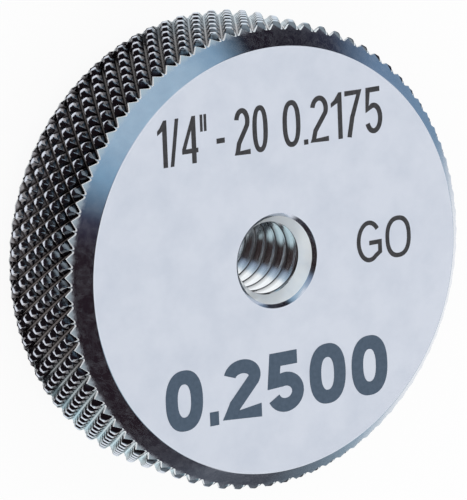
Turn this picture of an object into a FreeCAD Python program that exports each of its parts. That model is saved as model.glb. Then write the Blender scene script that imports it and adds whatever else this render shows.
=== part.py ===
"""Thread ring gauge: one turned steel ring with a diamond-knurled rim and a countersunk gauging bore.

The ring lies on its back face in the plane Z = 0, the bore runs along +Z, and the marked face is up.
"""

import FreeCAD
import Part

import math
import os

# Turned ring, in millimetres
outer_diameter = 32.0       # over the lands of the knurl
thickness = 10.0            # from face to face
bevel_width = 1.47          # radial width of the polished bevel round each face
bevel_length = 1.6          # the same bevel, measured along the axis

# Gauging bore, for a quarter-inch thread with 20 turns to the inch
thread_diameter = 6.35
thread_pitch = 1.27
thread_height_share = 1.0825  # a thread of this form stands in from both sides by this share of its pitch
mouth_clearance = 0.15      # the countersink opens this much wider than the thread
mouth_edge_break = 0.25     # small 45 degree chamfer on the edge of the countersink
countersink_angle = 60.0    # included angle of the cone that leads into the thread

# Diamond knurl on the rim
knurl_pitch = 1.27          # from diamond to diamond round the rim
knurl_helix_angle = 32.65   # between each family of grooves and the axis, in degrees
knurl_depth = 0.48          # from the lands to the bottoms of the grooves
knurl_land_width = 0.24     # flat left on each diamond, measured round the rim
knurl_start_angle = 3.2     # from +X to a diamond of the middle row, in degrees

# Bore and mouth
bore_radius = (thread_diameter - thread_height_share * thread_pitch) / 2.0
mouth_radius = (thread_diameter + mouth_clearance) / 2.0

# Groove bottoms of one diamond, seen from its centre: across it and out from the axis
outer_radius = outer_diameter / 2.0
root_radius = outer_radius - knurl_depth
knurl_count = round(math.pi * outer_diameter / knurl_pitch)
half_tooth = math.pi / knurl_count
row_step = outer_radius * half_tooth / math.tan(math.radians(knurl_helix_angle))
groove_across = root_radius * math.sin(half_tooth)
groove_out = root_radius * math.cos(half_tooth)

# Land of one diamond, cut from the sharp point where its four flanks would meet
land_across = knurl_land_width / 2.0
land_share = land_across / groove_across
sharp_radius = (outer_radius - land_share * groove_out) / (1.0 - land_share)
land_up = row_step * (sharp_radius - outer_radius) / (sharp_radius - root_radius)


def turned_blank():
    """The ring as it comes off the lathe, with its rim still proud of the knurl."""
    face_radius = outer_radius - bevel_width
    proud_radius = outer_radius + knurl_depth
    proud_height = bevel_length * (proud_radius - face_radius) / bevel_width
    cone_radius = mouth_radius - mouth_edge_break
    cone_length = (cone_radius - bore_radius) / math.tan(math.radians(countersink_angle / 2.0))
    lower_half = [
        (bore_radius, mouth_edge_break + cone_length),
        (cone_radius, mouth_edge_break),
        (mouth_radius, 0.0),
        (face_radius, 0.0),
        (proud_radius, proud_height),
    ]
    upper_half = [(radius, thickness - height) for radius, height in reversed(lower_half)]
    outline = lower_half + upper_half + lower_half[:1]
    corners = [FreeCAD.Vector(radius, 0, height) for radius, height in outline]
    section = Part.Face(Part.makePolygon(corners))
    return section.revolve(FreeCAD.Vector(0, 0, 0), FreeCAD.Vector(0, 0, 1), 360)


def rim_point(across, out, angle, height):
    """A point near the rim, given across and out from the axis as seen at one angle round it."""
    x = out * math.cos(angle) - across * math.sin(angle)
    y = out * math.sin(angle) + across * math.cos(angle)
    return FreeCAD.Vector(x, y, height)


def flat_face(*corners):
    """The flat face with these corners."""
    return Part.Face(Part.makePolygon(list(corners) + [corners[0]]))


def middle_corners(angle, height):
    """The four corners of a diamond's middle section, from groove to land to land to groove."""
    return [
        rim_point(-groove_across, groove_out, angle, height),
        rim_point(-land_across, outer_radius, angle, height),
        rim_point(land_across, outer_radius, angle, height),
        rim_point(groove_across, groove_out, angle, height),
    ]


def diamond_faces(angle, height, directions):
    """The flanks and the land of one diamond, above (1) and below (-1) its middle section."""
    left_groove, left_land, right_land, right_groove = middle_corners(angle, height)
    faces = []
    land_ends = []
    for direction in directions:
        groove_end = rim_point(0.0, root_radius, angle, height + direction * row_step)
        land_end = rim_point(0.0, outer_radius, angle, height + direction * land_up)
        faces.append(flat_face(left_groove, groove_end, land_end, left_land))
        faces.append(flat_face(right_groove, groove_end, land_end, right_land))
        land_ends.append(land_end)
    faces.append(flat_face(left_land, land_ends[0], right_land, *land_ends[1:]))
    return faces


def bar_end(angles, height):
    """The flat end of the knurled bar, sawn through the middle of a row of diamonds."""
    corners = []
    for angle in angles:
        corners.extend(middle_corners(angle, height)[:3])
    return flat_face(*corners)


def knurled_bar():
    """A bar with the diamond knurl all round it, a little longer than the ring.

    Rows of diamonds follow each other along the bar, each turned half a tooth from the last, so
    that their flanks meet in two families of helical grooves that cross.
    """
    end_row = math.ceil(thickness / 2.0 / row_step)
    faces = []
    for row in range(-end_row, end_row + 1):
        height = thickness / 2.0 + row * row_step
        row_angle = math.radians(knurl_start_angle) + (row % 2) * half_tooth
        angles = [row_angle + 2.0 * half_tooth * tooth for tooth in range(knurl_count)]
        directions = [step for step in (1, -1) if abs(row + step) <= end_row]
        for angle in angles:
            faces.extend(diamond_faces(angle, height, directions))
        if abs(row) == end_row:
            faces.append(bar_end(angles, height))
    skin = Part.makeCompound(faces)
    skin.sewShape()
    return Part.makeSolid(skin)


def gauge_ring():
    """The finished ring: what the turned blank and the knurled bar have in common."""
    return turned_blank().common(knurled_bar()).Solids[0]


os.makedirs("parts", exist_ok=True)
ring = gauge_ring()
ring.exportStep("parts/gauge_ring.step")
print("gauge_ring", len(ring.Faces), "faces,", round(ring.Volume, 2), "mm3, closed:", ring.isValid())
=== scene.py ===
import math

import bmesh
import bpy
import numpy as np
from mathutils import Matrix, Vector


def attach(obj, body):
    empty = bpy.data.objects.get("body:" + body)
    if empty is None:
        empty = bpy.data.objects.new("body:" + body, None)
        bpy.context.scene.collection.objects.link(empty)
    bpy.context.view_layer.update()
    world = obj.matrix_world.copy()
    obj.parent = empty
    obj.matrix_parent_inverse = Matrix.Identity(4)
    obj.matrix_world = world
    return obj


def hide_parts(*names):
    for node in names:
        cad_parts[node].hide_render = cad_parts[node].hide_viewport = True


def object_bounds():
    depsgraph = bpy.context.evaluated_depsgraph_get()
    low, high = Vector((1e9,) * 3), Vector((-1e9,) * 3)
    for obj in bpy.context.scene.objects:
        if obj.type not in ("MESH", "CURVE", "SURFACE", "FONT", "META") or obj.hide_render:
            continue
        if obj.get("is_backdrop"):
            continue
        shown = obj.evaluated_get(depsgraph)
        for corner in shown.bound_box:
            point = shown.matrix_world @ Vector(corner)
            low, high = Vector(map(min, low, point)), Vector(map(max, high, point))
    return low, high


# Thread ring gauge, lying on its back face with the marked face up.
# Everything is in metres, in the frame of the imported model: the bore runs along Z.

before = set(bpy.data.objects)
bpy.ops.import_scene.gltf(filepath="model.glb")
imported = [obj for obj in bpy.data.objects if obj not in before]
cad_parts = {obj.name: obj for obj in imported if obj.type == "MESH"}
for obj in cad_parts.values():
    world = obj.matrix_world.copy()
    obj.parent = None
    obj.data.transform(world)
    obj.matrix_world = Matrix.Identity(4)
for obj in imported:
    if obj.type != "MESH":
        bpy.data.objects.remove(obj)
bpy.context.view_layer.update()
print("frame loaded")

mm = 0.001


def newMaterial(name):
    # a material with an empty Principled shader, given back with its node tree's parts
    material = bpy.data.materials.new(name)
    material.use_nodes = True
    nodes = material.node_tree.nodes
    links = material.node_tree.links
    return material, nodes, links, nodes["Principled BSDF"]


def addNode(nodes, kind, **settings):
    # one node with its own properties set by name
    node = nodes.new(kind)
    for name, value in settings.items():
        setattr(node, name, value)
    return node


def noiseOn(nodes, links, vector, scale, detail=4.0, roughness=0.55):
    noise = nodes.new("ShaderNodeTexNoise")
    noise.inputs["Scale"].default_value = scale
    noise.inputs["Detail"].default_value = detail
    noise.inputs["Roughness"].default_value = roughness
    links.new(vector, noise.inputs["Vector"])
    return noise.outputs["Fac"]


def ramp(nodes, links, factor, stops):
    # colour ramp from a list of (place, colour)
    node = nodes.new("ShaderNodeValToRGB")
    elements = node.color_ramp.elements
    elements[0].position, elements[0].color = stops[0][0], (*stops[0][1], 1.0)
    elements[1].position, elements[1].color = stops[-1][0], (*stops[-1][1], 1.0)
    for place, colour in stops[1:-1]:
        elements.new(place).color = (*colour, 1.0)
    links.new(factor, node.inputs["Fac"])
    return node.outputs["Color"]


def span(nodes, links, value, fromRange, toRange):
    # straight-line map of a number from one range to another, held at its ends
    node = nodes.new("ShaderNodeMapRange")
    node.inputs["From Min"].default_value, node.inputs["From Max"].default_value = fromRange
    node.inputs["To Min"].default_value, node.inputs["To Max"].default_value = toRange
    links.new(value, node.inputs["Value"])
    return node.outputs["Result"]


def bumpFrom(nodes, links, height, strength, distance):
    node = nodes.new("ShaderNodeBump")
    node.inputs["Strength"].default_value = strength
    node.inputs["Distance"].default_value = distance
    links.new(height, node.inputs["Height"])
    return node.outputs["Normal"]


def attributeOf(nodes, name):
    # a number kept with the points of the mesh
    return addNode(nodes, "ShaderNodeAttribute", attribute_name=name).outputs["Fac"]


def mixTones(nodes, links, factor, one, two):
    # from one to two as the factor goes from 0 to 1; each is a plain tone or a node's output
    node = addNode(nodes, "ShaderNodeMix", data_type="RGBA")
    links.new(factor, node.inputs[0])
    for socket, tone in ((node.inputs[6], one), (node.inputs[7], two)):      # A and B of a colour mix
        if isinstance(tone, tuple):
            socket.default_value = (*tone, 1.0)
        else:
            links.new(tone, socket)
    return node.outputs[2]


def mixNumbers(nodes, links, factor, one, two):
    # from a node's output to a plain number as the factor goes from 0 to 1
    node = addNode(nodes, "ShaderNodeMix", data_type="FLOAT")
    links.new(factor, node.inputs[0])
    links.new(one, node.inputs[2])
    node.inputs[3].default_value = two
    return node.outputs[0]


def toneByTurn(nodes, links, place, tones):
    # a colour that goes round the Z axis, from stops of (degrees from +X, tone)
    around = addNode(nodes, "ShaderNodeTexGradient", gradient_type="RADIAL")
    links.new(place, around.inputs["Vector"])
    return ramp(nodes, links, around.outputs["Fac"], [((turn + 180) / 360, tone) for turn, tone in tones])


steel = {
    "pale": (0.675, 0.715, 0.80),
    "shade": (0.60, 0.645, 0.735),
    "faceRoughness": (0.34, 0.42),
    "mottle": 420.0,             # blotches of the ground face, per metre
    "mottleStops": (0.3, 0.62),
    "grit": 9000.0,
    "noiseRange": (0.3, 0.7),    # the part of a noise that is used
    "bevelRoughness": (0.10, 0.17),
    "bevelRings": 5200.0,        # turning marks
    "boreRings": 3000.0,
    "turnedCloud": 900.0,
    # painted highlight: the pale, mostly matt tone of the bevel's teeth on some sides
    "toothGlintTone": (0.44, 0.55, 0.61),
    "toothGlintMetallic": 0.2,
    "stain": 1700.0,             # faint patches on the turned surfaces, per metre
    "stainRange": (0.42, 0.70),
    "stainedShare": 0.94,        # how metallic a full stain still is
    "knurlRoughness": (0.08, 0.17),
    "knurlCloud": 2600.0,
    # painted shade: the flanks' tone, darker than the lands'
    "flank": (0.29, 0.285, 0.30),
    "flankStops": (0.06, 0.18),  # depths, as shares of the knurl's, between which the land turns into flank
    "paintedGrooveLightRange": (0.62, 0.90),  # and the flank into groove
    "paintedGrooveLightTurns": [              # painted shade and reflections in the grooves, changing round the rim, by degrees from +X
        (-180, (0.085, 0.072, 0.070)), (-162, (0.085, 0.072, 0.070)), (-142, (0.42, 0.52, 0.56)),
        (-60, (0.42, 0.52, 0.56)), (20, (0.25, 0.26, 0.28)), (92, (0.20, 0.21, 0.23)),
        (112, (0.030, 0.026, 0.026)), (148, (0.034, 0.028, 0.028)), (168, (0.085, 0.072, 0.070)),
        (180, (0.085, 0.072, 0.070)),
    ],
    "boreRoughness": (0.09, 0.16),
    "crestShadeTone": (0.035, 0.030, 0.032),      # painted shade: the crests of the thread, dark in the bright bore
    "crestMetallic": 1.0,
    "coneRoughness": (0.16, 0.24),
    "coneMetallic": 0.22,        # a frosted cut, mostly matt
    "frosted": ((0.86, 0.93, 1.0), (0.94, 0.98, 1.0)),
    "edgeRoughness": (0.40, 0.55),
    "edgeMetallic": 0.25,
    "polished": ((0.88, 0.92, 0.96), (0.95, 0.98, 1.0)),
}


def groundFinish(name="groundFaceSteel"):
    # satin ground face: soft blotches and a fine grit, no direction to it
    material, nodes, links, shader = newMaterial(name)
    place = nodes.new("ShaderNodeTexCoord").outputs["Object"]
    blotch = noiseOn(nodes, links, place, steel["mottle"])
    grit = noiseOn(nodes, links, place, steel["grit"], detail=2.0)
    colour = ramp(nodes, links, blotch, list(zip(steel["mottleStops"], (steel["shade"], steel["pale"]))))
    gloss = span(nodes, links, blotch, steel["noiseRange"], steel["faceRoughness"])
    links.new(colour, shader.inputs["Base Color"])
    links.new(gloss, shader.inputs["Roughness"])
    links.new(bumpFrom(nodes, links, grit, strength=0.12, distance=0.02 * mm), shader.inputs["Normal"])
    shader.inputs["Metallic"].default_value = 1.0
    return material


def turnedFinish(name, roughness, rings, tones, metallic=1.0, other=None):
    # Polished on the lathe: fine rings round the axis in gloss and relief, and a cloudy colour. Where
    # another look is given, as (attribute, tone, metallic), the surface is faintly stained and takes that
    # look as the attribute goes from 0 to 1.
    material, nodes, links, shader = newMaterial(name)
    place = nodes.new("ShaderNodeTexCoord").outputs["Object"]
    wave = addNode(nodes, "ShaderNodeTexWave", wave_type="RINGS", rings_direction="Z")
    wave.inputs["Scale"].default_value = rings
    wave.inputs["Distortion"].default_value = 0.8
    wave.inputs["Detail"].default_value = 2.0
    wave.inputs["Detail Scale"].default_value = 4.0
    links.new(place, wave.inputs["Vector"])
    cloud = noiseOn(nodes, links, place, steel["turnedCloud"])
    colour = ramp(nodes, links, cloud, list(zip(steel["noiseRange"], tones)))
    links.new(colour, shader.inputs["Base Color"])
    links.new(span(nodes, links, wave.outputs["Fac"], (0.0, 1.0), roughness), shader.inputs["Roughness"])
    relief = bumpFrom(nodes, links, wave.outputs["Fac"], strength=0.10, distance=0.004 * mm)
    links.new(relief, shader.inputs["Normal"])
    shader.inputs["Metallic"].default_value = metallic
    if other:
        attribute, tone, otherMetallic = other
        reach = attributeOf(nodes, attribute)
        stain = noiseOn(nodes, links, place, steel["stain"], detail=6.0, roughness=0.7)
        metal = (metallic, metallic * steel["stainedShare"])
        stained = span(nodes, links, stain, steel["stainRange"], metal)
        links.new(mixTones(nodes, links, reach, colour, tone), shader.inputs["Base Color"])
        links.new(mixNumbers(nodes, links, reach, stained, otherMetallic), shader.inputs["Metallic"])
    return material


def knurlFinish(name="knurlSteel"):
    # pressed diamonds: bright lands, and flanks with painted shade that darkens into the grooves, whose
    # painted shade and reflections change round the rim
    material, nodes, links, shader = newMaterial(name)
    place = nodes.new("ShaderNodeTexCoord").outputs["Object"]
    depth = attributeOf(nodes, "grooveDepth")
    cloud = noiseOn(nodes, links, place, steel["knurlCloud"])
    colour = ramp(nodes, links, depth, list(zip(steel["flankStops"], (steel["pale"], steel["flank"]))))
    # painted shade and reflections in the grooves, by the turn round the rim
    paintedGrooveLight = toneByTurn(nodes, links, place, steel["paintedGrooveLightTurns"])
    low = span(nodes, links, depth, steel["paintedGrooveLightRange"], (0, 1))
    gloss = span(nodes, links, cloud, steel["noiseRange"], steel["knurlRoughness"])
    links.new(mixTones(nodes, links, low, colour, paintedGrooveLight), shader.inputs["Base Color"])
    links.new(gloss, shader.inputs["Roughness"])
    links.new(bumpFrom(nodes, links, cloud, strength=0.25, distance=0.02 * mm), shader.inputs["Normal"])
    shader.inputs["Metallic"].default_value = 1.0
    return material


ring = {
    "thickness": 10.0 * mm,
    "outerRadius": 16.0 * mm,      # over the lands of the knurl
    "faceRadius": 14.53 * mm,      # where the bevel meets the flat face
    "bevelSlope": 1.47 / 1.6,      # how fast the bevel's radius grows with depth
    "edgeRound": 0.06 * mm,        # rounding of the face's edge
    "toothCount": 79,
    "rowStep": 0.99301 * mm,
    "rowsUp": 4,                   # rows of diamonds above the middle one
    "knurlDepth": 0.48 * mm,
    "knurlStart": math.radians(3.2),
    # a crowned land and its flanks: places out from a diamond's middle, and how deep it is there
    "diamondCuts": (0.0, 0.14, 0.21, 0.33, 0.45, 0.5),
    "diamondShares": (0.0, 0.03, 0.14, 0.56, 0.98, 1.0),
    # between these heights over the middle plane the diamonds get lower, from the first of these shares
    # of their full height to the second
    "fadeHeights": (3.0 * mm, 3.6 * mm),
    "fadeShares": (1.0, 0.80),
    "toothHeight": 9.07 * mm,      # the bevel's teeth, between the grooves, reach up to here
    # painted highlight on the bevel's teeth, a pale patch: it turns into the clean bevel between these
    # heights, and the second pair says how much of it there is at each turn, in degrees from +X
    "toothGlintHeights": (8.78 * mm, 8.96 * mm),
    "toothGlintTurns": (-180, -128, -106, 88, 104, 180),
    "toothGlintShares": (1.0, 1.0, 0.1, 0.1, 1.0, 1.0),
    "runOutBreak": 0.13 * mm,      # broken edge where a groove runs out into the bevel
    "tipBreak": 0.06 * mm,         # the same on the lands
    "breakRise": 0.2,              # see buildRing
    "bevelRing": 9.4 * mm,         # height of one more round ring on the bevel
    "faceRings": (14.0, 11.0, 8.0, 5.0, 3.5),      # radii in millimetres
    "coneRings": (0.3 * mm, 0.6 * mm),             # depths below the start of the countersink
    "sharpBend": math.radians(25),     # unlike surfaces that meet at more than this keep a sharp edge
    "alwaysSharp": math.radians(85),   # and so does any fold beyond this
    # Columns of points round the bevel and round the mouth, and how far each set is turned, in steps of
    # its own: never the same, so that no point of one faces a point of the other.
    "bevelColumns": (237, 0.5),
    "mouthColumns": (120, 0.25),
    "mouthRadius": 3.25 * mm,
    "mouthBreak": 0.25 * mm,
    "boreRadius": 2.48759 * mm,
    "coneDepth": 1.13753 * mm,     # where the countersink reaches the thread
    "threadPitch": 1.27 * mm,
    "threadHeight": 0.68741 * mm,
    "threadStart": 8.647 * mm,     # height of the first ridge's lower edge at +X
    "crestShares": (0.02, 0.08),   # depths, as shares of the thread's, over which the crest's painted shade ends
    "runOut": 0.28 * mm,           # the groove dies out over this length at each end
}
halfTooth = math.pi / ring["toothCount"]
middle = ring["thickness"] / 2
weldSpacing = 1e-8             # points nearer to each other than this are one
# what each triangle of the ring belongs to
onFace, onBevel, onFlank, onBore, onCone, onLand, inGroove, onBreak = range(8)


def onAxis(turn, radius, height):
    # cylinder to flat coordinates: (r cos t, r sin t, z)
    turn, radius, height = np.broadcast_arrays(turn, radius, height)
    return np.stack([radius * np.cos(turn), radius * np.sin(turn), height], -1).reshape(-1, 3)


def bevelRadius(height):
    # radius of the upper bevel's cone: r = face + slope * depth
    return ring["faceRadius"] + ring["bevelSlope"] * (ring["thickness"] - height)


def roundedCorner(start, corner, end, steps):
    # (1-s)^2 start + 2s(1-s) corner + s^2 end, a soft corner between two straight runs
    s = np.linspace(0.0, 1.0, steps)[:, None]
    return (1 - s) ** 2 * np.array(start) + 2 * s * (1 - s) * np.array(corner) + s ** 2 * np.array(end)


def gridTriangles(rows, columns, closed=True):
    # two triangles for each square of a band of rings; a closed band joins its last column to its first
    row, column = np.meshgrid(np.arange(rows - 1), np.arange(columns - (not closed)), indexing="ij")
    after = (column + 1) % columns
    a, b = row * columns + column, row * columns + after
    c, d = b + columns, a + columns
    return np.concatenate([np.stack([a, b, c], -1).reshape(-1, 3), np.stack([a, c, d], -1).reshape(-1, 3)])


def bridgeTriangles(turns, first, otherTurns, otherFirst):
    # joins two rings with unlike numbers of points: the edges of both, in the order of their middles,
    # each make a triangle with the point that the other ring has come to
    here = (turns + np.append(turns[1:], turns[0] + 2 * math.pi)) / 2
    there = (otherTurns + np.append(otherTurns[1:], otherTurns[0] + 2 * math.pi)) / 2
    own = np.arange(len(turns))
    other = np.arange(len(otherTurns))
    apex = otherFirst + np.searchsorted(there, here) % len(otherTurns)
    otherApex = first + np.searchsorted(here, there) % len(turns)
    one = np.stack([first + own, first + (own + 1) % len(turns), apex], -1)
    two = np.stack([otherFirst + (other + 1) % len(otherTurns), otherFirst + other, otherApex], -1)
    return np.concatenate([one, two])


def weld(points, triangles, tags):
    # one point where several lie together, and no triangle that this closes up
    keys = np.rint(points / weldSpacing).astype(np.int64)
    keep, welded = np.unique(keys, axis=0, return_index=True, return_inverse=True)[1:]
    triangles = welded.reshape(-1)[triangles]
    one, two, three = triangles.T
    real = (one != two) & (two != three) & (one != three)
    return points[keep], triangles[real], tags[real]


def halfKnurl():
    # The upper half of the knurl. p and q, from -1/2 to 1/2, run across a diamond along the two
    # families of grooves; turn = start + (tooth + p + q) * halfTooth, height = middle + (row + p - q) *
    # rowStep, radius = outer - depth * share, where share goes from 0 in the middle of the land to 1 in
    # the groove with the larger of |p| and |q|.
    half = np.array(ring["diamondCuts"])
    cuts = np.concatenate([-half[:0:-1], half])
    size = len(cuts)
    p, q = (grid.ravel() for grid in np.meshgrid(cuts, cuts, indexing="ij"))
    row, tooth = np.meshgrid(np.arange(ring["rowsUp"] + 1), np.arange(ring["toothCount"]), indexing="ij")
    row, tooth = row.reshape(-1, 1), tooth.reshape(-1, 1)
    turn = ring["knurlStart"] + halfTooth * (2 * tooth + row % 2 + p + q)
    height = middle + ring["rowStep"] * (row + p - q)
    reach = np.maximum(np.abs(p), np.abs(q))
    share = np.interp(reach, half, ring["diamondShares"])
    share = 1 - (1 - share) * np.interp(height - middle, ring["fadeHeights"], ring["fadeShares"])
    radius = ring["outerRadius"] - ring["knurlDepth"] * share + 0 * turn
    points = onAxis(turn, radius, height)

    # each square of a diamond is split along the nearer ridge
    i, j = (grid.ravel() for grid in np.meshgrid(np.arange(size - 1), np.arange(size - 1), indexing="ij"))
    a, b, c, d = i * size + j, i * size + j + 1, (i + 1) * size + j + 1, (i + 1) * size + j
    between = (cuts[1:] + cuts[:-1]) / 2
    alike = (between[i] * between[j] > 0)[:, None]
    one = np.where(alike, np.stack([a, b, c], -1), np.stack([a, b, d], -1))
    two = np.where(alike, np.stack([a, c, d], -1), np.stack([b, c, d], -1))
    out = np.maximum(np.abs(between[i]), np.abs(between[j]))
    kind = np.where(out < half[2], onLand, np.where(out > half[-2], inGroove, onFlank))
    template = np.concatenate([one, two])
    diamonds = len(row)
    triangles = (template[None] + (np.arange(diamonds) * size * size)[:, None, None]).reshape(-1, 3)
    tags = np.tile(np.concatenate([kind, kind]), diamonds)
    upper = points[triangles][:, :, 2].mean(1) > middle
    return weld(points, triangles[upper], tags[upper])


def brokenEdge(points):
    # width of the broken edge, which changes evenly with the depth from the lands to the grooves
    share = (ring["outerRadius"] - np.hypot(points[:, 0], points[:, 1])) / ring["knurlDepth"]
    return ring["tipBreak"] + (ring["runOutBreak"] - ring["tipBreak"]) * share


def cutAtBevel(points, triangles, tags):
    # Keeps what lies inside the bevel's cone. level = radius - cone + broken edge; a side that crosses
    # level 0 gets a point there, in proportion to the levels of its ends.
    level = np.hypot(points[:, 0], points[:, 1]) - bevelRadius(points[:, 2]) + brokenEdge(points)
    inside = level[triangles] < 0
    count = inside.sum(1)

    def crossing(start, end):
        low, high = np.minimum(start, end), np.maximum(start, end)
        t = (level[low] / (level[low] - level[high]))[:, None]
        return points[low] + t * (points[high] - points[low])

    # turn each cut triangle so that its lone corner comes first
    lone = np.where(count == 1, inside.argmax(1), (~inside).argmax(1))
    spin = (lone[:, None] + np.arange(3)) % 3
    turned = np.take_along_axis(triangles, spin, 1)
    tip, pair = turned[count == 1], turned[count == 2]
    tipOne, tipTwo = crossing(tip[:, 0], tip[:, 1]), crossing(tip[:, 0], tip[:, 2])
    pairOne, pairTwo = crossing(pair[:, 0], pair[:, 1]), crossing(pair[:, 0], pair[:, 2])
    edge = np.concatenate([tipOne, tipTwo, pairOne, pairTwo])
    first = len(points) + np.cumsum([0, len(tip), len(tip), len(pair)])
    t, u = np.arange(len(tip)), np.arange(len(pair))
    made = np.concatenate([
        np.stack([tip[:, 0], first[0] + t, first[1] + t], -1),
        np.stack([first[2] + u, pair[:, 1], pair[:, 2]], -1),
        np.stack([first[2] + u, pair[:, 2], first[3] + u], -1),
    ])
    kept = np.concatenate([triangles[count == 3], made])
    keptTags = np.concatenate([tags[count == 3], tags[count == 1], tags[count == 2], tags[count == 2]])
    return np.concatenate([points, edge]), kept, keptTags, edge


def sortedRing(points):
    # the points of a ring in the order of their turns, without repeats
    keys = np.rint(points / weldSpacing).astype(np.int64)
    points = points[np.unique(keys, axis=0, return_index=True)[1]]
    turns = np.arctan2(points[:, 1], points[:, 0])
    order = np.argsort(turns)
    return turns[order], points[order]


def evenTurns(count, first):
    # count turns at equal steps, the first one this share of a step after -180 degrees
    return -math.pi + (np.arange(count) + first) * 2 * math.pi / count


def bevelProfile():
    # radius and height of the round rings from above the zigzag to the flat face
    edge, support = ring["edgeRound"], 0.03 * mm
    length = math.hypot(ring["bevelSlope"], 1.0)
    cone = [(bevelRadius(height), height) for height in (ring["toothHeight"], ring["bevelRing"])]
    low = (ring["faceRadius"] + edge * ring["bevelSlope"] / length, ring["thickness"] - edge / length)
    corner = (ring["faceRadius"], ring["thickness"])
    high = (ring["faceRadius"] - edge, ring["thickness"])
    near = (bevelRadius(low[1] - support), low[1] - support)
    rings = cone + [near] + roundedCorner(low, corner, high, 5).tolist() + [(high[0] - support, high[1])]
    kinds = [onBevel] * (len(rings) - 2) + [onFace]
    return np.array(rings), np.array(kinds)


def mouthProfile():
    # radius and height of the rings from the flat face into the bore: broken edge and countersink
    top, mouth, bore = ring["thickness"], ring["mouthRadius"], ring["boreRadius"]
    inner, shelf = mouth - ring["mouthBreak"], top - ring["mouthBreak"]
    coneEnd = top - ring["coneDepth"]
    slope = (inner - bore) / (shelf - coneEnd)
    support = 0.02 * mm
    side = support * math.sqrt(0.5)
    face = [(radius * mm, top) for radius in ring["faceRings"]] + [(mouth + 2 * support, top)]
    soft = roundedCorner((mouth + support, top), (mouth, top), (mouth - side, top - side), 4).tolist()
    corner = [(inner + side, shelf + side), (inner, shelf), (inner - slope * support, shelf - support)]
    cone = [(inner - slope * depth, shelf - depth) for depth in ring["coneRings"]]
    end = [(bore + slope * support, coneEnd + support), (bore, coneEnd), (bore, coneEnd - support)]
    rings = face + soft + corner + cone + end
    kinds = [onFace] * len(face) + [onBevel] * (len(soft) + 1) + [onCone] * (len(cone) + 3) + [onBore]
    return np.array(rings), np.array(kinds)


def threadTube(turns, low, high):
    # Right-hand thread: height = start + pitch * (turn / 2pi + n + s), where s runs up one pitch of the
    # profile; radius = bore + thread height * profile(s) * ease, and ease falls to 0 at both ends.
    heightAt = np.array([0.03, 0.10, 0.12, 0.215, 0.31, 0.405, 0.43, 0.675, 0.70, 0.795, 0.89, 0.985])
    grooveAt = np.array([0.0, 0.0, 0.048, 0.352, 0.656, 0.96, 1.0, 1.0, 0.96, 0.656, 0.352, 0.048])
    pitches = np.arange(2, -math.ceil((high - low) / ring["threadPitch"]) - 3, -1)
    s = (pitches[:, None] + heightAt[None, ::-1]).ravel()
    profile = np.tile(grooveAt[::-1], len(pitches))
    around = np.append(turns, turns[0] + 2 * math.pi)
    height = ring["threadStart"] + ring["threadPitch"] * (around[None, :] / (2 * math.pi) + s[:, None])
    height = np.clip(height, low, high)
    ease = np.clip(np.minimum(high - height, height - low) / ring["runOut"], 0, 1)
    ease = ease * ease * (3 - 2 * ease)
    radius = ring["boreRadius"] + ring["threadHeight"] * profile[:, None] * ease
    return onAxis(around[None, :], radius, height), gridTriangles(len(s), len(around), closed=False)


def buildRing():
    patches = []

    def add(points, triangles, tags):
        patches.append((points, triangles, np.broadcast_to(tags, len(triangles))))

    points, triangles, tags, edge = cutAtBevel(*halfKnurl())
    add(points, triangles, tags)

    # From the zigzag, over its broken edge, to the round rings of the bevel. The second row lies on the
    # cone, broken edge * (rise + 1 / slope) above the zigzag: 1 / slope takes it to the cone straight up,
    # and the rise leans it back. The third row is halfway from there to the first ring.
    turns, zigzag = sortedRing(edge)
    lower = zigzag[:, 2] + brokenEdge(zigzag) * (ring["breakRise"] + 1 / ring["bevelSlope"])
    upper = (lower + ring["toothHeight"]) / 2
    rows = [zigzag] + [onAxis(turns, bevelRadius(height), height) for height in (lower, upper)]
    strip = gridTriangles(3, len(turns))
    add(np.concatenate(rows), strip, np.tile(np.repeat([onBreak, onBevel], len(turns)), 2))
    rings, kinds = bevelProfile()
    even = evenTurns(*ring["bevelColumns"])
    circles = onAxis(even[None, :], rings[:, :1], rings[:, 1:])
    bridge = bridgeTriangles(turns, 0, even, len(turns))
    add(np.concatenate([rows[2], circles[:len(even)]]), bridge, onBevel)
    add(circles, gridTriangles(len(rings), len(even)), np.tile(np.repeat(kinds, len(even)), 2))

    # the flat face, its mouth and the countersink
    coarse = evenTurns(*ring["mouthColumns"])
    mouth, mouthKinds = mouthProfile()
    mouthRings = onAxis(coarse[None, :], mouth[:, :1], mouth[:, 1:])
    bridge = bridgeTriangles(even, 0, coarse, len(even))
    add(np.concatenate([circles[-len(even):], mouthRings[:len(coarse)]]), bridge, onFace)
    add(mouthRings, gridTriangles(len(mouth), len(coarse)), np.tile(np.repeat(mouthKinds, len(coarse)), 2))

    # the lower side is the upper one mirrored, and the thread joins the two
    for points, triangles, tags in list(patches):
        below = points * (1, 1, -1) + (0, 0, ring["thickness"])
        add(below, triangles[:, ::-1], tags)
    add(*threadTube(coarse, ring["thickness"] - mouth[-1, 1], mouth[-1, 1]), onBore)

    firsts = np.cumsum([0] + [len(patch[0]) for patch in patches])
    points = np.concatenate([patch[0] for patch in patches])
    triangles = np.concatenate([patch[1] + first for patch, first in zip(patches, firsts)])
    return weld(points, triangles, np.concatenate([patch[2] for patch in patches]))


def makeMesh(name, points, triangles):
    mesh = bpy.data.meshes.new(name)
    mesh.vertices.add(len(points))
    mesh.vertices.foreach_set("co", points.astype(np.float32).ravel())
    mesh.loops.add(triangles.size)
    mesh.loops.foreach_set("vertex_index", triangles.astype(np.int32).ravel())
    mesh.polygons.add(len(triangles))
    mesh.polygons.foreach_set("loop_start", np.arange(0, triangles.size, 3, dtype=np.int32))
    mesh.update(calc_edges=True)
    return mesh


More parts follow.
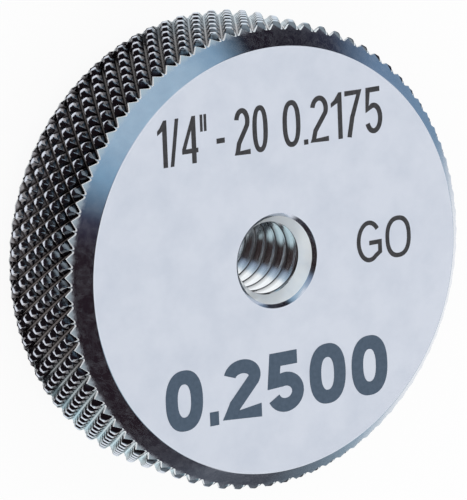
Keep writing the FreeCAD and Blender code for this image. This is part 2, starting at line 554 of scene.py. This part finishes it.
def markSharp(mesh, tags):
    # Sharp where unlike surfaces or two flanks meet at more than sharpBend. The inside of the bore stays
    # smooth, and so does the edge of a land, but not beside a broken edge. Beyond alwaysSharp all are sharp.
    edges = np.zeros(len(mesh.loops), np.int32)
    mesh.loops.foreach_get("edge_index", edges)
    sides = (np.argsort(edges, kind="stable") // 3).reshape(-1, 2)
    normals = np.zeros(len(mesh.polygons) * 3, np.float32)
    mesh.polygons.foreach_get("normal", normals)
    normals = normals.reshape(-1, 3)
    bend = np.arccos(np.clip((normals[sides[:, 0]] * normals[sides[:, 1]]).sum(1), -1, 1))
    unlike = tags[sides[:, 0]] != tags[sides[:, 1]]
    flanks = (tags[sides] == onFlank).all(1)
    rim = (tags[sides] == onBreak).any(1)
    soft = ((tags[sides] == onLand).any(1) & ~rim) | (tags[sides] == onBore).all(1)
    folded = (unlike | flanks) & ~soft & (bend > ring["sharpBend"])
    sharp = folded | (bend > ring["alwaysSharp"])
    mesh.polygons.foreach_set("use_smooth", np.ones(len(mesh.polygons), bool))
    attribute = mesh.attributes.get("sharp_edge") or mesh.attributes.new("sharp_edge", "BOOLEAN", "EDGE")
    attribute.data.foreach_set("value", sharp)


def keepWithPoints(mesh, name, values):
    # one number for each point, for a material to read
    mesh.attributes.new(name, "FLOAT", "POINT").data.foreach_set("value", values.astype(np.float32))


points, triangles, tags = buildRing()
ringMesh = makeMesh("gaugeRing", points, triangles)
slotOf = np.array([0, 1, 2, 3, 4, 2, 2, 5])        # the material of each kind of triangle, in their order
ringMesh.polygons.foreach_set("material_index", slotOf[tags].astype(np.int32))
markSharp(ringMesh, tags)
radius = np.hypot(points[:, 0], points[:, 1])
turn = np.degrees(np.arctan2(points[:, 1], points[:, 0]))
keepWithPoints(ringMesh, "grooveDepth", np.clip((ring["outerRadius"] - radius) / ring["knurlDepth"], 0, 1))
# painted highlight on the bevel's teeth, by height and by the turn round the ring
toothGlintByHeight = np.interp(middle + np.abs(points[:, 2] - middle), ring["toothGlintHeights"], (1.0, 0.0))
keepWithPoints(ringMesh, "paintedToothGlint", toothGlintByHeight * np.interp(turn, ring["toothGlintTurns"], ring["toothGlintShares"]))
threadDepth = (radius - ring["boreRadius"]) / ring["threadHeight"]
keepWithPoints(ringMesh, "threadCrest", np.interp(threadDepth, ring["crestShares"], (1.0, 0.0)))

# the painted highlight on the bevel's teeth
toothGlintLook = ("paintedToothGlint", steel["toothGlintTone"], steel["toothGlintMetallic"])
# painted shade on the thread's crests
crestLook = ("threadCrest", steel["crestShadeTone"], steel["crestMetallic"])
for finish in (
    groundFinish(),
    turnedFinish("bevelSteel", steel["bevelRoughness"], steel["bevelRings"],
                 (steel["shade"], steel["pale"]), other=toothGlintLook),
    knurlFinish(),
    turnedFinish("boreSteel", steel["boreRoughness"], steel["boreRings"], steel["polished"],
                 other=crestLook),
    turnedFinish("coneSteel", steel["coneRoughness"], steel["boreRings"], steel["frosted"],
                 steel["coneMetallic"]),
    turnedFinish("edgeSteel", steel["edgeRoughness"], steel["boreRings"], steel["polished"],
                 steel["edgeMetallic"]),
):
    ringMesh.materials.append(finish)
gaugeRing = bpy.data.objects.new("gaugeRing", ringMesh)
bpy.context.scene.collection.objects.link(gaugeRing)
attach(gaugeRing, "root")
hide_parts("gauge_ring")
print("ring:", len(points), "points,", len(triangles), "triangles")


marks = {
    "proud": 0.012 * mm,
    "mergeDistance": 1e-7,
    "inkCloud": 3500.0,
    "inkStops": (0.35, 0.65),
    "inkRange": (0.3, 0.7),
    "inkRoughness": (0.45, 0.6),
    "inkSpecular": 0.3,
    "grey": ((0.022, 0.022, 0.026), (0.046, 0.046, 0.052)),
    "slate": ((0.048, 0.082, 0.128), (0.066, 0.104, 0.158)),
    "lines": {
        # ink, width of the strokes, baseline and top, then each group of figures with its two ends
        "sizeMark": ("grey", 0.35 * mm, 7.56 * mm, 10.75 * mm, [
            ('1/4"', -9.08 * mm, -5.20 * mm),
            ("-", -4.45 * mm, -3.80 * mm),
            ("20", -3.00 * mm, -0.35 * mm),
            ("0.2175", 0.85 * mm, 8.95 * mm),
        ]),
        "goMark": ("grey", 0.31 * mm, -1.26 * mm, 1.63 * mm, [("GO", 6.51 * mm, 10.97 * mm)]),
        "numberMark": ("slate", 0.95 * mm, -10.47 * mm, -6.30 * mm, [("0.2500", -9.29 * mm, 8.69 * mm)]),
    },
    # the width of each figure and the gap between two, as shares of the width of a nought
    "widths": {"1": 0.62, "/": 0.62, "4": 1.05, '"': 0.42, ".": 0.24, "7": 0.95, "G": 1.1, "O": 1.12},
    "gap": 0.17,
}


def inkFinish(name, tones):
    # etched and blackened: matt, a little uneven
    material, nodes, links, shader = newMaterial(name)
    place = nodes.new("ShaderNodeTexCoord").outputs["Object"]
    cloud = noiseOn(nodes, links, place, marks["inkCloud"])
    colour = ramp(nodes, links, cloud, list(zip(marks["inkStops"], tones)))
    gloss = span(nodes, links, cloud, marks["inkRange"], marks["inkRoughness"])
    links.new(colour, shader.inputs["Base Color"])
    links.new(gloss, shader.inputs["Roughness"])
    shader.inputs["Specular IOR Level"].default_value = marks["inkSpecular"]
    return material


def bow(centre, radii, first, last, steps=28):
    # part of an ellipse, with the angles in degrees: (cx + rx cos a, cy + ry sin a)
    angle = np.radians(np.linspace(first, last, steps))
    return np.stack([centre[0] + radii[0] * np.cos(angle), centre[1] + radii[1] * np.sin(angle)], -1)


def stroke(path, width):
    # The outline of a stroke along a path: each point goes half the width to both sides, along
    # (n + m) / (1 + n.m) for the normals n and m of its two sides, and no further than 1.5 half widths.
    path = np.array(path)
    along = np.diff(path, axis=0)
    along /= np.linalg.norm(along, axis=1)[:, None]
    normal = np.stack([-along[:, 1], along[:, 0]], -1)
    before, after = np.vstack([normal[:1], normal]), np.vstack([normal, normal[-1:]])
    reach = (before + after) / (1 + (before * after).sum(1))[:, None]
    reach *= np.minimum(1, 1.5 / np.linalg.norm(reach, axis=1))[:, None]
    return np.vstack([path + reach * width / 2, (path - reach * width / 2)[::-1]])


def roundFigure(wide, tall, width):
    # an O or a nought: two rounded loops, |x/a|^n + |y/b|^n = 1
    angle = np.linspace(0, 2 * math.pi, 56, endpoint=False)
    power = 2 / 2.35
    x = np.sign(np.cos(angle)) * np.abs(np.cos(angle)) ** power
    y = np.sign(np.sin(angle)) * np.abs(np.sin(angle)) ** power
    outer = np.stack([wide / 2 * (1 + x), tall / 2 * (1 + y)], -1)
    inner = np.stack([wide / 2 + (wide / 2 - width) * x, tall / 2 + (tall / 2 - width) * y], -1)
    return [outer, inner[::-1]]


def figure(sign, wide, tall, width):
    # the closed loops of one figure in a box of this width and height
    left, right, low, high = width / 2, wide - width / 2, width / 2, tall - width / 2
    centre, reach = wide / 2, (right - left) / 2
    if sign in "0O":
        return roundFigure(wide, tall, width)
    if sign == "1":
        stem = wide - width
        return [np.array([(stem, 0), (wide, 0), (wide, tall), (wide - 0.7 * width, tall),
                          (0.5 * stem, 0.85 * tall), (0, 0.79 * tall), (0, 0.79 * tall - 0.85 * width),
                          (stem, 0.80 * tall - 0.2 * width)])]
    if sign == "2":
        top = bow((centre, 0.72 * tall), (reach, high - 0.72 * tall), 170, -28)
        foot = [(left + 0.35 * reach, 0.26 * tall), (left + 0.05 * reach, low + 0.01 * tall), (left, low)]
        return [stroke(np.vstack([top, foot, [(wide, low)]]), width)]
    if sign == "4":
        stem, bar = 0.60 * wide, 0.22 * tall
        outer = [(stem, 0), (stem + width, 0), (stem + width, bar), (wide, bar), (wide, bar + 0.9 * width),
                 (stem + width, bar + 0.9 * width), (stem + width, tall), (stem + 0.2 * width, tall),
                 (0, bar + 0.95 * width), (0, bar), (stem, bar)]
        inner = [(stem, bar + 0.9 * width), (stem, 0.72 * tall), (0.85 * width, bar + 0.9 * width)]
        return [np.array(outer), np.array(inner)]
    if sign == "5":
        bowl = bow((centre, 0.33 * tall), (reach, 0.33 * tall - low), 104, -158)
        start = [(right, high), (left + 0.22 * reach, high), (left + 0.06 * reach, 0.53 * tall)]
        return [stroke(np.vstack([start, bowl]), width)]
    if sign == "7":
        slant = [(right, high), (centre - 0.2 * reach, 0.42 * tall), (left + 0.25 * reach, 0)]
        return [stroke([(0, high)] + slant, width)]
    if sign == "G":
        bowl = bow((centre, tall / 2), (reach, tall / 2 - low), 38, 306)
        bar = [(right, 0.22 * tall), (right, 0.46 * tall), (centre, 0.46 * tall)]
        return [stroke(np.vstack([bowl, bar]), width)]
    boxes = {
        "-": [(0, wide, 0.33 * tall, 0.33 * tall + width)],
        ".": [(0, wide, 0, max(width, 0.11 * tall))],
        '"': [(0, 0.4 * wide, 0.64 * tall, tall), (0.6 * wide, wide, 0.64 * tall, tall)],
    }
    if sign in boxes:
        return [np.array([(x, y), (far, y), (far, top), (x, top)]) for x, far, y, top in boxes[sign]]
    # the slanted line of a fraction
    return [np.array([(0, 0), (0.8 * width, 0), (wide, tall), (wide - 0.8 * width, tall)])]


def makeMark(name, ink, width, baseline, top, groups):
    # the figures as one thin solid, half sunk into the face
    curve = bpy.data.curves.new(name, "CURVE")
    curve.dimensions = "2D"
    curve.fill_mode = "BOTH"
    curve.extrude = marks["proud"]
    for signs, left, right in groups:
        shares = np.array([marks["widths"].get(sign, 1.0) for sign in signs])
        unit = (right - left) / (shares.sum() + marks["gap"] * (len(signs) - 1))
        starts = left + unit * np.concatenate([[0], np.cumsum(shares + marks["gap"])[:-1]])
        for sign, start, share in zip(signs, starts, shares):
            for loop in figure(sign, share * unit, top - baseline, width):
                corners = np.zeros((len(loop), 4))
                corners[:, :2] = loop + (start, baseline)
                spline = curve.splines.new("POLY")
                spline.points.add(len(loop) - 1)
                spline.points.foreach_set("co", corners.ravel())
                spline.use_cyclic_u = True
    flat = bpy.data.objects.new(name, curve)
    bpy.context.scene.collection.objects.link(flat)
    bpy.context.view_layer.update()
    mesh = bpy.data.meshes.new_from_object(flat.evaluated_get(bpy.context.evaluated_depsgraph_get()))
    bpy.data.objects.remove(flat)
    solid = bmesh.new()
    solid.from_mesh(mesh)
    bmesh.ops.remove_doubles(solid, verts=solid.verts, dist=marks["mergeDistance"])
    bmesh.ops.translate(solid, verts=solid.verts, vec=(0, 0, ring["thickness"]))
    bmesh.ops.recalc_face_normals(solid, faces=solid.faces)
    solid.to_mesh(mesh)
    solid.free()
    mesh.polygons.foreach_set("use_smooth", np.zeros(len(mesh.polygons), bool))
    mesh.materials.clear()
    mesh.materials.append(inks[ink])
    piece = bpy.data.objects.new(name, mesh)
    bpy.context.scene.collection.objects.link(piece)
    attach(piece, "root")


inks = {"grey": inkFinish("greyInk", marks["grey"]), "slate": inkFinish("slateInk", marks["slate"])}
for name, line in marks["lines"].items():
    makeMark(name, *line)
print("marks:", len(marks["lines"]))


studio = {
    "floorSize": 6.0,
    "floorDrop": 0.02 * mm,        # below the ring's back face
    "floorWhite": (0.95, 0.95, 0.95),
    "floorGlow": 0.92,             # the rest of the floor's look is real light and shadow
    "worldLevel": 0.92,
    "keyPlace": (0.26, -0.14, 0.52),
    "keySize": 0.36,
    "keyPower": 0.06,
}
seeingRays = ["Is Camera Ray", "Is Glossy Ray", "Is Transmission Ray"]

# A painted sweep round the ring for the metal to show, as a photographer stands round polished steel.
# The camera, diffuse light and shadows don't see it. White near the ring, then these tones by the turn
# round it, in degrees from +X.
white = (1.0, 1.0, 1.0)
soot = (0.02, 0.014, 0.018)
darkWall = (0.025, 0.016, 0.020)
darkTop = (0.03, 0.02, 0.02)
night = (0.04, 0.04, 0.06)
coal = (0.06, 0.06, 0.07)
iron = (0.12, 0.13, 0.15)
ash = (0.20, 0.22, 0.25)
dusk = (0.20, 0.30, 0.42)
deepBlue = (0.22, 0.34, 0.46)
steelBlue = (0.32, 0.44, 0.52)
mist = (0.34, 0.42, 0.48)
softBlue = (0.47, 0.62, 0.72)
fog = (0.48, 0.60, 0.64)
skyBlue = (0.62, 0.76, 0.84)
ice = (0.80, 0.95, 1.0)
snow = (0.90, 0.98, 1.0)
sweep = {
    "columns": 96,
    "lift": 0.05 * mm,           # above the plane that the ring lies on
    "whiteRadius": 0.0270,
    "tonedRadius": 0.0295,
    "whitePull": 0.0070,         # the white ends up to this much nearer to the ring, by the next shares
    "pullTurns": [(-180, 1.0), (-136, 1.0), (-120, 0.0), (8, 0.0), (24, 1.0), (180, 1.0)],
    "farRadius": 0.044,
    "footRadii": (0.0146, 0.0170),   # the strip right under the rim, whose dark tones are painted shadow of the rim
    "footTones": [
        (-180, soot), (-148, soot), (-134, ice), (-98, ice), (-70, ash), (30, ash),
        (58, (0.85, 0.95, 1.0)), (92, (0.85, 0.95, 1.0)), (106, soot), (180, soot),
    ],
    "wallRadius": 0.060,
    "lowHeight": 0.007,
    "wallHeight": 0.052,
    "upperHeight": 0.175,
    "nearTones": [
        (-180, soot), (-142, soot), (-132, snow), (-112, (0.80, 0.92, 1.0)), (-92, iron), (-76, coal),
        (-62, (0.16, 0.20, 0.23)), (-48, steelBlue), (-18, steelBlue), (4, deepBlue), (28, dusk),
        (42, night), (58, night), (66, (0.80, 0.94, 1.0)), (90, snow), (99, soot), (180, soot),
    ],
    "farTones": [
        (-180, soot), (-155, soot), (-143, mist), (-112, mist), (-92, iron), (-62, coal),
        (-48, steelBlue), (-18, steelBlue), (4, deepBlue), (28, dusk), (42, night), (58, night),
        (66, skyBlue), (118, skyBlue), (134, soot), (180, soot),
    ],
    "wallTones": [
        (-180, darkWall), (-115, darkWall), (-98, (0.055, 0.052, 0.062)), (-88, (0.055, 0.052, 0.062)),
        (-78, white), (16, white), (26, dusk), (40, (0.03, 0.03, 0.04)), (72, (0.014, 0.007, 0.012)),
        (83, (0.28, 0.43, 0.55)), (97, softBlue), (130, softBlue), (146, (0.27, 0.44, 0.57)),
        (163, (0.05, 0.045, 0.07)), (175, darkWall), (180, darkWall),
    ],
    "upperTones": [
        (-180, darkTop), (-140, darkTop), (-126, fog), (-84, fog), (-74, white), (110, white),
        (122, (0.45, 0.55, 0.65)), (142, (0.24, 0.30, 0.40)), (156, darkTop), (180, darkTop),
    ],
}


def directRay(nodes, links):
    # 1 for a ray from the camera, or one that metal or glass has sent on, else 0
    path = nodes.new("ShaderNodeLightPath")
    total = path.outputs[seeingRays[0]]
    for kind in seeingRays[1:]:
        adder = addNode(nodes, "ShaderNodeMath", operation="MAXIMUM")
        links.new(total, adder.inputs[0])
        links.new(path.outputs[kind], adder.inputs[1])
        total = adder.outputs["Value"]
    return total


def makeFloor():
    # white floor: a share of real light, so that shadows stay, and a plain glow for the eye and the metal
    half, height = studio["floorSize"] / 2, -studio["floorDrop"]
    corners = [(-half, -half, height), (half, -half, height), (half, half, height), (-half, half, height)]
    mesh = bpy.data.meshes.new("floor")
    mesh.from_pydata(corners, [], [(0, 1, 2, 3)])
    floor = bpy.data.objects.new("floor", mesh)
    bpy.context.scene.collection.objects.link(floor)
    material = bpy.data.materials.new("whiteFloor")
    material.use_nodes = True
    nodes, links = material.node_tree.nodes, material.node_tree.links
    nodes.clear()
    matt = nodes.new("ShaderNodeBsdfDiffuse")
    matt.inputs["Color"].default_value = (*studio["floorWhite"], 1)
    glow = nodes.new("ShaderNodeEmission")
    glow.inputs["Strength"].default_value = 1.0
    seen = directRay(nodes, links)
    blend = nodes.new("ShaderNodeMixShader")
    links.new(span(nodes, links, seen, (0, 1), (0.0, studio["floorGlow"])), blend.inputs["Fac"])
    links.new(matt.outputs["BSDF"], blend.inputs[1])
    links.new(glow.outputs["Emission"], blend.inputs[2])
    output = nodes.new("ShaderNodeOutputMaterial")
    links.new(blend.outputs["Shader"], output.inputs["Surface"])
    mesh.materials.append(material)
    floor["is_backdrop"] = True


def makeSweepPart(name, profile, tones, fading):
    # A profile of (radius, height) turned round the ring: (r cos t, r sin t, z). It glows in the tones of
    # its turn, and where it is fading, in white up to whiteRadius, less the pull at that turn.
    turn = np.linspace(0, 2 * math.pi, sweep["columns"], endpoint=False)
    rings = np.array(profile)
    corners = onAxis(turn[None, :], rings[:, :1], rings[:, 1:])
    mesh = makeMesh(name, corners, gridTriangles(len(rings), len(turn)))
    piece = bpy.data.objects.new(name, mesh)
    bpy.context.scene.collection.objects.link(piece)
    material = bpy.data.materials.new(name)
    material.use_nodes = True
    nodes, links = material.node_tree.nodes, material.node_tree.links
    nodes.clear()
    place = nodes.new("ShaderNodeTexCoord").outputs["Object"]
    tone = toneByTurn(nodes, links, place, tones)
    if fading:
        distance = addNode(nodes, "ShaderNodeVectorMath", operation="LENGTH")
        links.new(place, distance.inputs[0])
        stops = [(turn, (share, share, share)) for turn, share in sweep["pullTurns"]]
        pull = span(nodes, links, toneByTurn(nodes, links, place, stops), (0, 1), (0, sweep["whitePull"]))
        reach = addNode(nodes, "ShaderNodeMath", operation="ADD")
        links.new(distance.outputs["Value"], reach.inputs[0])
        links.new(pull, reach.inputs[1])
        edge = (sweep["whiteRadius"], sweep["tonedRadius"])
        out = span(nodes, links, reach.outputs["Value"], edge, (0, 1))
        tone = mixTones(nodes, links, out, white, tone)
    glow = nodes.new("ShaderNodeEmission")
    links.new(tone, glow.inputs["Color"])
    output = nodes.new("ShaderNodeOutputMaterial")
    links.new(glow.outputs["Emission"], output.inputs["Surface"])
    mesh.materials.append(material)
    piece.visible_camera = False
    piece.visible_diffuse = False
    piece.visible_shadow = False
    piece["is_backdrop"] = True


def makeWorld():
    world = bpy.data.worlds.new("softRoom")
    bpy.context.scene.world = world
    world.use_nodes = True
    nodes, links = world.node_tree.nodes, world.node_tree.links
    background = nodes["Background"]
    background.inputs["Color"].default_value = (1, 1, 1, 1)
    seen = directRay(nodes, links)
    links.new(span(nodes, links, seen, (0, 1), (studio["worldLevel"], 1.0)), background.inputs["Strength"])


def makeLamp(name, place, size, power, aim):
    lamp = bpy.data.lights.new(name, "AREA")
    lamp.size = size
    lamp.energy = power
    holder = bpy.data.objects.new(name, lamp)
    holder.location = place
    holder.rotation_euler = (Vector(aim) - Vector(place)).to_track_quat("-Z", "Y").to_euler()
    bpy.context.scene.collection.objects.link(holder)


makeFloor()
lift = sweep["lift"]
inner, far, wall = sweep["whiteRadius"] - sweep["whitePull"], sweep["farRadius"], sweep["wallRadius"]
low, high, top = sweep["lowHeight"], sweep["wallHeight"], sweep["upperHeight"]
makeSweepPart("sweepFoot", [(radius, lift) for radius in sweep["footRadii"]], sweep["footTones"], False)
makeSweepPart("sweepNear", [(inner, lift), (far, lift)], sweep["nearTones"], True)
makeSweepPart("sweepFar", [(far, lift), (wall, lift), (wall, low)], sweep["farTones"], False)
makeSweepPart("sweepWall", [(wall, low), (wall, high)], sweep["wallTones"], False)
makeSweepPart("sweepUpper", [(wall, high), (wall, top)], sweep["upperTones"], False)
makeWorld()
makeLamp("keyLamp", studio["keyPlace"], studio["keySize"], studio["keyPower"], (0, 0, 0))
print("floor, sweep and light")


# the camera stands at the photograph's angle
view = {
    "place": (-205.518 * mm, 81.640 * mm, 321.074 * mm),
    "right": (0.83344997, -0.03819601, 0.55127327),
    "up": (0.14805326, 0.97657068, -0.1561728),
    "lens": 409.88,
    "sensor": 36.0,
    "clip": (0.01, 20.0),
}
camera = bpy.data.cameras.new("camera")
camera.lens = view["lens"]
camera.sensor_width = view["sensor"]
camera.clip_start, camera.clip_end = view["clip"]
holder = bpy.data.objects.new("camera", camera)
right, up = Vector(view["right"]).normalized(), Vector(view["up"]).normalized()
back = right.cross(up)
turned = Matrix((right, up, back)).transposed().to_4x4()
holder.matrix_world = Matrix.Translation(view["place"]) @ turned
bpy.context.scene.collection.objects.link(holder)
bpy.context.scene.camera = holder
bpy.context.scene.view_settings.view_transform = "Standard"
print("camera set")

low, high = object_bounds()
